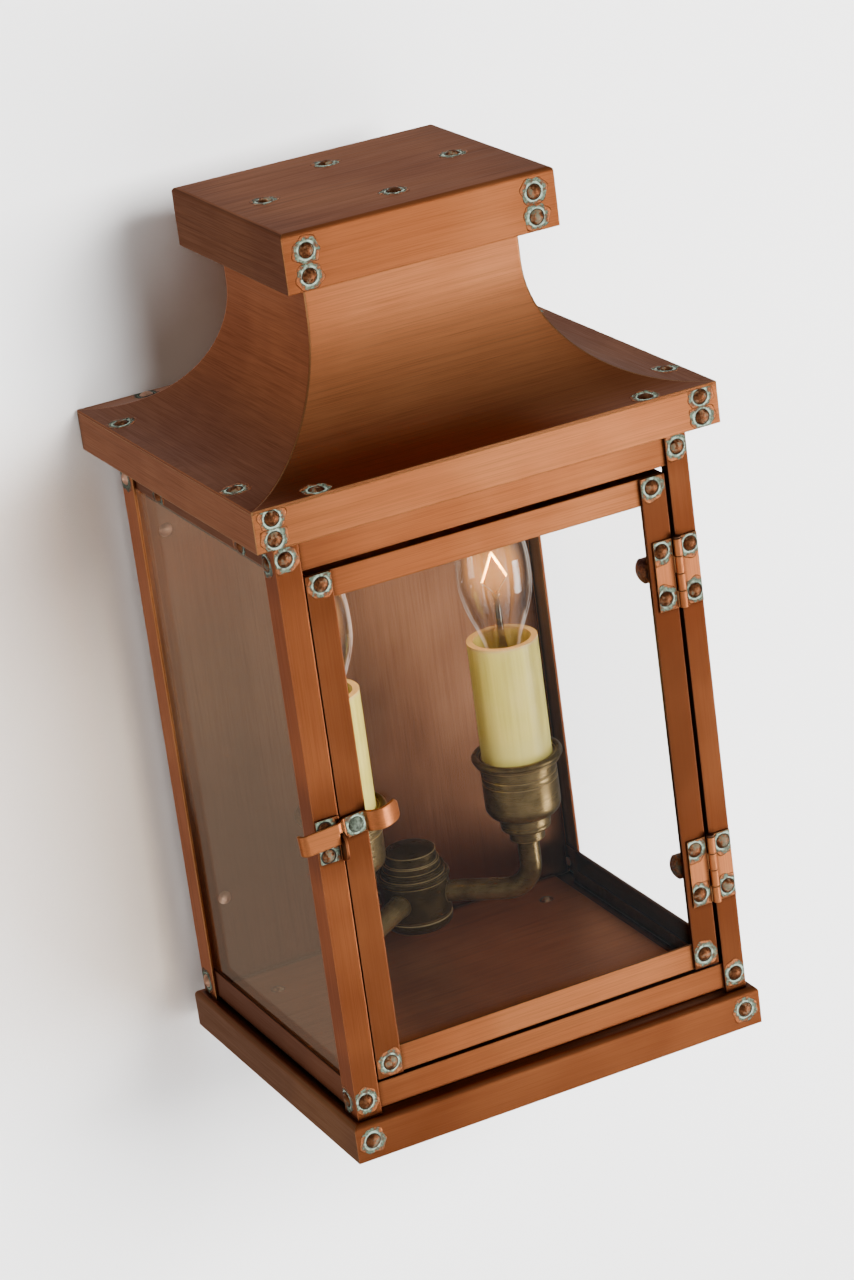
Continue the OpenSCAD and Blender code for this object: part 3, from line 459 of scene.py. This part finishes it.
def pane(name, tint=(0.97, 0.98, 0.975), rim_tint=(0.80, 0.83, 0.81), gloss=(0.9, 0.9, 0.9), rough=0.02,
         head_on=0.03, streaks=0.0, glow=None):
    """Thin clear glass: what is behind it, and a reflection that grows at a glancing angle.

    glow is the warm light of a lit filament, painted as a glow on the glass near it, with painted pale
    highlights in streaks along the rim."""
    m, t = material(name)
    facing = t.new("ShaderNodeLayerWeight")
    facing.inputs["Blend"].default_value = 0.5
    clear = t.new("ShaderNodeBsdfTransparent")
    t.set(clear.inputs["Color"], t.mix(t.math("POWER", facing.outputs["Facing"], 3.0), tint, rim_tint))
    shine = t.new("ShaderNodeBsdfGlossy")
    shine.inputs["Color"].default_value = (*gloss, 1)
    shine.inputs["Roughness"].default_value = rough
    smear = t.noise(t.coord("Object"), 18, 3)
    t.set(shine.inputs["Normal"], t.bump(smear, 0.02, 0.0005))
    rim = t.math("MULTIPLY_ADD", t.math("POWER", facing.outputs["Facing"], 5.0), 0.9, head_on)
    if streaks:
        lines = t.noise(t.scaled(t.coord("Object"), (1.0, 1.0, 0.05)), 330, 3, 0.6)
        rim = t.math("ADD", rim, t.ramp(lines, 0.52, 0.66, 0.0, streaks))
    mix = t.new("ShaderNodeMixShader")
    t.join(rim, mix.inputs[0])
    t.join(clear.outputs[0], mix.inputs[1])
    t.join(shine.outputs[0], mix.inputs[2])
    surface = mix.outputs[0]
    if glow:
        veil = t.new("ShaderNodeEmission")
        away = t.math("ABSOLUTE", t.math("SUBTRACT", t.split(t.coord("Object"))[2], FILAMENT_Z))
        middle = t.ramp(facing.outputs["Facing"], 0.0, 0.55, 1.0, 0.0)
        warm = t.math("MULTIPLY", t.ramp(away, 0.0, 0.017, 1.0, 0.0), middle)
        # painted highlights: pale streaks that glow along the rim
        silver = t.math("MULTIPLY", t.ramp(facing.outputs["Facing"], 0.50, 0.74),
                        t.ramp(facing.outputs["Facing"], 0.92, 0.80))
        bands = t.noise(t.scaled(t.coord("Object"), (1.0, 1.0, 0.05)), 260, 2, 0.5)
        silver = t.math("MULTIPLY", silver, t.ramp(bands, 0.42, 0.62))
        t.set(veil.inputs["Color"], t.mix(silver, glow, (0.30, 0.29, 0.27)))
        t.join(t.math("MAXIMUM", warm, silver), veil.inputs["Strength"])
        add = t.new("ShaderNodeAddShader")
        t.join(surface, add.inputs[0])
        t.join(veil.outputs[0], add.inputs[1])
        surface = add.outputs[0]
    t.out(surface)
    return m


def plain(name, a, b, scale=60, metallic=0.0, rough=0.5, bump=0.1):
    m, t = material(name)
    pos = t.coord("Object")
    cloud = t.noise(pos, scale, 4, 0.6)
    col = t.mix(t.ramp(cloud, 0.35, 0.65), a, b)
    s = t.shader(Base_Color=col, Metallic=metallic,
                 Roughness=t.ramp(cloud, 0.3, 0.7, rough * 0.85, rough * 1.15),
                 Normal=t.bump(cloud, bump, 0.0002))
    t.out(s.outputs[0])
    return m


def glowing(name):
    m, t = material(name)
    col = t.mix(t.ramp(t.noise(t.coord("Object"), 900, 2), 0.3, 0.7), (1.0, 0.42, 0.09), (1.0, 0.58, 0.18))
    s = t.shader(Base_Color=col, Roughness=0.5, Emission_Color=col, Emission_Strength=11.0)
    t.out(s.outputs[0])
    return m


# ---------- rivet patches ----------

def patch(bm, uv, at, out, across, limits, seed, rise=None):
    """A thin closed patch on a sheet, round the point at.

    limits is the room on its right, top, left and bottom, in mm."""
    rng = random.Random(seed)
    up = out.cross(across)
    turns, rings = 40, (0.30, 0.42, 0.50, 0.58, 0.66, 0.78, 0.90, 1.0)
    phase = [rng.uniform(0, 6.28) for _ in range(4)]
    rows = []
    for i in range(turns):
        a = 2 * math.pi * i / turns
        c, s = math.cos(a), math.sin(a)
        far = 6.5 + 0.5 * math.sin(3 * a + phase[0]) + 0.4 * math.sin(7 * a + phase[1])
        for room, part in zip(limits, (c, s, -c, -s)):
            if part > 1e-6:
                far = min(far, room / part)
        row = []
        for k in rings:
            r = far * k
            lift = 0.10 if r < 3.4 else 0.10 - 0.07 * min(1.0, (r - 3.4) / 1.2)
            lift += 0.012 * math.sin(9 * a + phase[2]) * (1 - k)
            x, y = r * c, r * s
            if rise:
                lift += rise(x, y)
            row.append((bm.verts.new(at + (across * x + up * y + out * lift) * MM), r / 6.0, i / turns))
        foot = rise(far * c, far * s) if rise else 0.0
        edge = at + (across * far * c + up * far * s + out * (foot + 0.004)) * MM
        row.append((bm.verts.new(edge), far / 6.0, i / turns))
        rows.append(row)
    centre_top = bm.verts.new(at + out * 0.10 * MM)
    centre_low = bm.verts.new(at + out * 0.004 * MM)

    def face(points):
        f = bm.faces.new([p[0] for p in points])
        for loop, p in zip(f.loops, points):
            loop[uv].uv = (p[1], p[2])

    for i in range(turns):
        a, b = rows[i], rows[(i + 1) % turns]
        for k in range(len(a) - 1):
            face([a[k], a[k + 1], b[k + 1], b[k]])
        face([(centre_top, 0, 0), a[0], b[0]])
        face([(centre_low, 0, 0), b[-1], a[-1]])


def patches(name, points, mat, body, seed):
    bm = bmesh.new()
    uv = bm.loops.layers.uv.new("ring")
    for i, p in enumerate(points):
        patch(bm, uv, Vector(p[0]) * MM, Vector(p[1]), Vector(p[2]), p[3], seed + i, *p[4:])
    bmesh.ops.recalc_face_normals(bm, faces=bm.faces)
    mesh = bpy.data.meshes.new(name)
    bm.to_mesh(mesh)
    bm.free()
    for f in mesh.polygons:
        f.use_smooth = True
    return link(name, mesh, mat, body)


FRONT, RIGHT, LEFT, UP = (0, -1, 0), (1, 0, 0), (-1, 0, 0), (0, 0, 1)
X, Y = (1, 0, 0), (0, 1, 0)
BIG = 20


def facing(x, h, y, limits):
    """A rivet on a front face. limits are for the right-hand one and are swapped on the left."""
    r, t, l, b = limits
    return ((x, y, h - 200), FRONT, X, (r, t, l, b) if x > 0 else (l, t, r, b))


def rivet_patches():
    post = [facing(s * 93.7, h, -179, (4.7, BIG if h < 100 else 9.3, 5.3 if s > 0 else 6.7, 7.9))
            for s in (-1, 1) for h in (26.2, 279)]
    side = []
    for s in (-1, 1):
        for h in (25, 275.6):
            for y, front, back in ((-169.5, 9.4, 3.4), (-17, 7.9, 4.9)):
                lim = (back, BIG, front, 6.8)
                side.append(((s * 98.5, y, h - 200), (s, 0, 0), (0, s, 0),
                             lim if s > 0 else (front, BIG, back, 6.8)))
        for y in (-51.4, -139.8):
            side.append(((s * 97.3, y, 75.6), (s, 0, 0), (0, s, 0), (BIG, BIG, BIG, 3.0)))
    leaf_rows = [(70.1, 7.0, 5.5), (92.1, 4.5, 7.0), (212.5, 7.0, 5.6), (234.5, 4.4, 7.0)]
    leaf = [facing(94.5, h, -179.8, (3.7, up, 3.9, down)) for h, up, down in leaf_rows]
    keeper = [facing(-94.3, h, -179.8, (3.9, up, 5.9, down)) for h, up,
              down in ((144.4, 6.0, 3.3), (157, 4.1, 6.0))]
    base = [facing(s * 94.6, 9, -183, (7.6, 6.2, BIG, 8.8)) for s in (-1, 1)]
    skirt = [facing(s * 101.4, h, -190.5, (8.4, up, BIG, down)) for s in (-1, 1)
             for h, up, down in ((293.2, 4.5, 4.6), (302.3, 3.5, 4.5))]
    cap = [facing(s * 53.5, h, -152.5, (10.4, up, BIG, down)) for s in (-1, 1)
           for h, up, down in ((386.2, 5.4, 5.9), (397.2, 6.6, 5.4))]
    door = [facing(s * 79.4, h, -179, (6.6, up, 5.2, down))
            for s in (-1, 1) for h, up, down in ((40.5, BIG, 6.2), (264, 4.7, BIG))]
    door_leaf = [facing(80, h, -179.8, (5.3, up, 3.3, down)) for h, up, down in leaf_rows]
    tilt = math.radians(4.5)
    eye = [((-80, -180.5, -44.8), FRONT, (math.cos(tilt), 0, math.sin(tilt)), (4.4, 4.6, 4.9, 4.6))]
    top = [((x, y, 206), UP, X, (BIG,) * 4) for x, y in ((-45, -95.5), (45, -95.5), (0, -129.5), (0, -61.5))]

    def flare(reach, sign, axis, inset):
        flat = reach * 3 / 53

        def rise(x, y):
            d = inset + sign * (x, y)[axis] - flat
            return 57 * (1 - math.sqrt(max(0.0, 1 - (max(d, 0.0) / (reach - flat)) ** 2)))
        return rise

    roof = []
    for s in (-1, 1):
        roof.append(((s * 78, -185.5, 107.1), UP, X, (BIG, BIG, BIG, 4.9), flare(53, 1, 1, 5)))
        roof.append(((s * 78, -5.5, 107.1), UP, X, (BIG, 4.9, BIG, BIG), flare(53, -1, 1, 5)))
        for y in (-35.7, -158.7):
            lim = (6.9, BIG, BIG, BIG) if s > 0 else (BIG, BIG, 6.9, BIG)
            roof.append(((s * 103, y, 107.1), UP, X, lim, flare(59, -s, 0, 7)))
    up = patina("patina_up", "up")
    across = patina("patina_across", "across")
    patches("patina_posts", post + side, up, "lantern", 10)
    patches("patina_leaves", leaf, up, "lantern", 200)
    # the keeper's rivet patches get a fainter mint ring, painted shade under the lever's tongue
    patches("patina_keeper", keeper, patina("patina_sooty", "up", mint=0.35), "lantern", 250)
    patches("patina_sheet", base + skirt + cap, across, "lantern", 300)
    patches("patina_top", top + roof, across, "lantern", 400)
    patches("patina_door", door, up, "door", 500)
    patches("patina_door_leaves", door_leaf, up, "door", 600)
    patches("patina_latch", eye, across, "latch", 700)


# ---------- bulbs ----------

def tube(bm, points, radius, sides=10):
    """A closed tube along points."""
    rings = []
    for i, p in enumerate(points):
        d = (points[min(i + 1, len(points) - 1)] - points[max(i - 1, 0)]).normalized()
        a = d.cross(Vector((0.01, 1, 0.02))).normalized()
        b = d.cross(a)
        rings.append([bm.verts.new(p + (a * math.cos(t) + b * math.sin(t)) * radius)
                      for t in (2 * math.pi * k / sides for k in range(sides))])
    for r, s in zip(rings, rings[1:]):
        for k in range(sides):
            bm.faces.new((r[k], r[(k + 1) % sides], s[(k + 1) % sides], s[k]))
    bm.faces.new(rings[0][::-1])
    bm.faces.new(rings[-1])


def lathe(bm, profile, centre, sides=40):
    """A closed turned shape from (radius, height) pairs in mm, its first and last on the axis."""
    rings = []
    for r, z in profile:
        if r < 1e-6:
            rings.append([bm.verts.new(centre + Vector((0, 0, z)) * MM)])
        else:
            rings.append([bm.verts.new(centre + Vector((r * math.cos(t), r * math.sin(t), z)) * MM)
                          for t in (2 * math.pi * k / sides for k in range(sides))])
    for a, b in zip(rings, rings[1:]):
        for k in range(sides):
            j = (k + 1) % sides
            if len(a) == 1:
                bm.faces.new((a[0], b[j], b[k]))
            elif len(b) == 1:
                bm.faces.new((a[k], a[j], b[0]))
            else:
                bm.faces.new((a[k], a[j], b[j], b[k]))


def finish_mesh(bm, name, mat, body, smooth=True):
    bmesh.ops.recalc_face_normals(bm, faces=bm.faces)
    mesh = bpy.data.meshes.new(name)
    bm.to_mesh(mesh)
    bm.free()
    for f in mesh.polygons:
        f.use_smooth = smooth
    return link(name, mesh, mat, body)


def add_bulb(side, x, mats):
    """The stem, lead wires, coiled filament and threaded cap inside and under one bulb."""
    body = "bulb_" + side
    centre = Vector((x, -81, -200)) * MM
    stem = bmesh.new()
    lathe(stem,
          [(0, 160.1), (3.8, 160.1), (4.0, 160.6), (4.0, 165.5), (3.4, 167), (2.4, 169), (1.9, 175),
           (1.5, 182),
                 (1.35, 190), (1.35, 195.2), (1.9, 196.2), (2.2, 197.4), (1.9, 198.4), (1.0, 198.9),
                 (0, 199)], centre)
    glass = finish_mesh(stem, "stem_glass_" + side, mats["stem"], body)
    wires = bmesh.new()
    for s in (-1, 1):
        path = ((0.9, 197.6), (2.2, 199.4), (4.2, 201.6), (5.8, 203.2), (6.4, 204.4))
        tube(wires, [centre + Vector((s * x, 0, z)) * MM for x, z in path], 0.00032, 8)
    finish_mesh(wires, "stem_wires_" + side, mats["steel"], body)
    coil = bmesh.new()
    for s in (-1, 1):
        a, b = Vector((s * 6.4, 0, 204.2)), Vector((0, 0, 217.2))
        d = (b - a).normalized()
        u = Vector((0, 1, 0))
        v = d.cross(u)
        n, turns = 120, 15
        tube(coil, [centre + (a + (b - a) * (i / n) + (u * math.cos(w) + v * math.sin(w)) * 0.42) * MM
                    for i, w in ((i, 2 * math.pi * turns * i / n) for i in range(n + 1))], 0.00024, 6)
    finish_mesh(coil, "filament_" + side, mats["hot"], body)
    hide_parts("bulb_stem_" + side)
    thread = bmesh.new()
    turns, per, low, high, pitch = 7, 36, 141.0, 158.6, 2.4
    rows = []
    for i in range(per + 1):
        t = 2 * math.pi * i / per
        row = []
        for k in range(8 * turns + 1):
            z = low + (high - low) * k / (8 * turns)
            r = 5.45 + 0.45 * math.sin(2 * math.pi * (z / pitch) - t)
            at = centre + Vector((r * math.cos(t), r * math.sin(t), z)) * MM
            row.append(thread.verts.new(at) if i < per else None)
        rows.append(row)
    rows[per] = rows[0]
    for i in range(per):
        for k in range(8 * turns):
            thread.faces.new((rows[i][k], rows[i + 1][k], rows[i + 1][k + 1], rows[i][k + 1]))
    low_tip = thread.verts.new(centre + Vector((0, 0, low)) * MM)
    high_tip = thread.verts.new(centre + Vector((0, 0, high)) * MM)
    for i in range(per):
        thread.faces.new((rows[i + 1][0], rows[i][0], low_tip))
        thread.faces.new((rows[i][-1], rows[i + 1][-1], high_tip))
    lathe(thread, [(0, 158.4), (5.9, 158.4), (5.9, 160.0), (0, 160.0)], centre, 36)
    shell = finish_mesh(thread, "lamp_cap_" + side, mats["lamp"], body)
    tip = bmesh.new()
    lathe(tip,
          [(0, 138.1), (1.4, 138.1), (2.3, 138.7), (2.4, 139.5), (4.6, 140.2), (5.0, 141.2), (0, 141.2)],
          centre, 32)
    finish_mesh(tip, "lamp_foot_" + side, mats["insulator"], body)
    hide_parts("bulb_base_" + side)


# ---------- assembly ----------

def paint():
    skirt = copper("copper_skirt", "across", light=(0.92, 0.34, 0.126), mid=(0.76, 0.250, 0.088),
                   ends=(58, 112, 0.30),
                   left_tone=(0.88, 1.0, 1.25))
    cap = copper("copper_cap", "across", ends=(35, 66, 0.30), left_tone=(0.58, 0.60, 0.60))
    rails = copper("copper_rails", "across", ends=(48, 88, 0.50))
    sill = copper("copper_sill", "across", light=(0.66, 0.225, 0.080), mid=(0.52, 0.160, 0.054),
                  ends=(48, 90, 0.45))
    base = copper("copper_base", "across", light=(0.50, 0.168, 0.060), mid=(0.35, 0.106, 0.036),
                  ends=(40, 105, 0.25),
                  left_tone=(1.0, 1.40, 1.65))
    post_look = dict(light=(0.54, 0.172, 0.059), mid=(0.37, 0.108, 0.036))
    hinge_look = dict(light=(0.31, 0.100, 0.035), mid=(0.20, 0.060, 0.021))
    hinge_side = copper("copper_hinge_side", "up", **hinge_look,
                        tarnish=[(-119, 17, 30, 0.55), (23, 17, 30, 0.75), (79, 5, 10, 0.4)])
    latch_side = copper("copper_latch_side", "up", left_tone=(1.45, 1.40, 1.30), **post_look,
                        tarnish=[(-46, 10, 22, 0.65), (-170, 12, 16, 0.4), (79, 8, 18, 0.4)])
    rear = copper("copper_rear", "up")
    stile_left = copper("copper_stile_left", "up", light=(0.42, 0.136, 0.047), mid=(0.29, 0.086, 0.029),
                        tarnish=[(-46, 10, 22, 0.65), (-160, 8, 16, 0.4), (60, 6, 14, 0.3)])
    stile_right = copper("copper_stile_right", "up", light=(0.225, 0.072, 0.026), mid=(0.150, 0.045, 0.016),
                         tarnish=[(-119, 17, 30, 0.4), (23, 17, 30, 0.5)])
    side_rails = copper("copper_side_rails", "across", light=(0.36, 0.135, 0.058), mid=(0.26, 0.090, 0.038))
    # painted reflection: the rear right post's faces that look left are retinted greenish-grey and made less
    # metallic
    olive = copper("copper_olive", "up", left_tone=(0.78, 1.7, 2.6), left_metal=0.72, **post_look)
    plates = copper("copper_plates", "up", light=(0.74, 0.255, 0.090), mid=(0.58, 0.180, 0.060), metal=0.9)
    # painted shade: the keeper under the lever's tongue is darker, with stronger painted shade in its corners
    soot = copper("copper_sooty", "up", light=(0.52, 0.17, 0.06), mid=(0.30, 0.09, 0.03), dirt=1.2)
    roof = copper("copper_roof", "across", light=(0.90, 0.335, 0.130), mid=(0.72, 0.235, 0.084), dirt=0.8,
                  tarnish=[(107, 2, 24, 0.45)])
    inner = copper("copper_inner", "up", light=(0.44, 0.205, 0.108), mid=(0.29, 0.122, 0.060),
                   dark=(0.13, 0.050, 0.024), wear=0.3, dirt=0.7,
                   tarnish=[(-160, 30, 75, 0.4)])
    floor = copper("copper_floor", "across", light=(0.80, 0.30, 0.120), mid=(0.62, 0.215, 0.082),
                   dark=(0.24, 0.075, 0.030), wear=0.3, dirt=0.8, metal=0.93)
    lever = copper("copper_bright", "across", light=(0.84, 0.28, 0.095), mid=(0.58, 0.160, 0.050),
                   dark=(0.22, 0.050, 0.015), bump=0.05)
    hidden = copper("copper_hidden", "up", light=(0.30, 0.15, 0.085), mid=(0.21, 0.10, 0.055),
                    dark=(0.10, 0.045, 0.024), wear=0.5)
    domes = dome_copper("rivet_domes")
    green = green_dome("latch_green")
    antique = brass("antique_brass")
    old_brass = brass("cluster_brass", 0.32)
    steel = plain("zinc_steel", (0.42, 0.42, 0.41), (0.60, 0.60, 0.58), 40, 1.0, 0.35)
    look = {}
    for n in ("header_rail", "door_rail_top", "door_rail_low"):
        look[n] = rails
    for n in ("side_rail_top_left", "side_rail_top_right", "side_rail_low_left", "side_rail_low_right"):
        look[n] = side_rails
    for n in ("roof_front", "roof_right", "roof_rear", "roof_left"):
        look[n] = roof
    look.update(post_front_left=latch_side, post_front_right=hinge_side, door_stile_left=stile_left,
                door_stile_right=stile_right)
    shaded_roof = copper("copper_roof_left", "across", light=(0.66, 0.225, 0.080), mid=(0.50, 0.150, 0.050),
                         dirt=0.8,
                         tarnish=[(107, 2, 24, 0.45)])
    look.update(base_tray=base, sill_rail=sill, roof_left=shaded_roof, roof_skirt=skirt, roof_cap=cap,
                post_rear_left=rear, post_rear_right=olive, hinge_leaves_post=plates, hinge_leaves_door=plates,
                latch_keeper=soot)
    look.update(back_panel=inner, floor_panel=floor, glass_channels=hidden, wall_pan=hidden,
                hinge_pins=hidden,
                glass_studs=domes, body_rivets=domes, roof_rivets=domes, door_rivets=domes, latch_rivet=green,
                latch_lever=lever, mounting_bar=steel, hang_screws=steel,
                ground_screw=plain("green_paint", (0.02, 0.13, 0.045), (0.035, 0.19, 0.07), 90, 0.0, 0.4))
    for n in ("cluster_body", "cluster_cap", "cluster_nipple", "cluster_nuts", "arm_left", "arm_right",
              "cup_left", "cup_right"):
        look[n] = old_brass if "cluster" in n else antique
    bakelite = plain("socket_dark", (0.020, 0.017, 0.014), (0.045, 0.038, 0.030), 120, 0.0, 0.45)
    ivory = candle("candle_ivory")
    door_pane = pane("door_pane", tint=(1, 1, 1), rim_tint=(0.88, 0.90, 0.89), head_on=0.012)
    side_pane = pane("left_pane", gloss=(1.0, 0.84, 0.70), rough=0.12, head_on=0.11)
    far_pane = pane("right_pane", tint=(1, 1, 1), rim_tint=(0.97, 0.975, 0.975), head_on=0.0)
    blown = pane("blown_glass", tint=(0.985, 0.985, 0.975), rim_tint=(0.60, 0.58, 0.53), gloss=(1, 1, 1),
                 rough=0.03, head_on=0.05,
                 streaks=0.16, glow=(0.36, 0.135, 0.028))
    for s in ("left", "right"):
        look["socket_" + s] = bakelite
        look["sleeve_" + s] = ivory
        look["bulb_glass_" + s] = blown
    look.update(side_glass_left=side_pane, side_glass_right=far_pane, door_glass=door_pane)
    mats = {"stem": pane("stem_glass", tint=(0.97, 0.95, 0.90), rim_tint=(0.74, 0.66, 0.52), head_on=0.20,
                         streaks=0.4, gloss=(1.0, 0.86,
                                             0.66)), "steel": steel, "hot": glowing("filament_hot"),
            "lamp": plain("lamp_cap_brass", (0.42, 0.31, 0.13), (0.60, 0.46, 0.22), 200, 1.0, 0.3),
            "insulator": bakelite}
    for n, ob in NODES.items():
        if n in look:
            ob.data.materials.clear()
            ob.data.materials.append(look[n])
    for side, x in BULBS:
        add_bulb(side, x, mats)


add_camera()
add_stage()
add_lights()
paint()
rivet_patches()
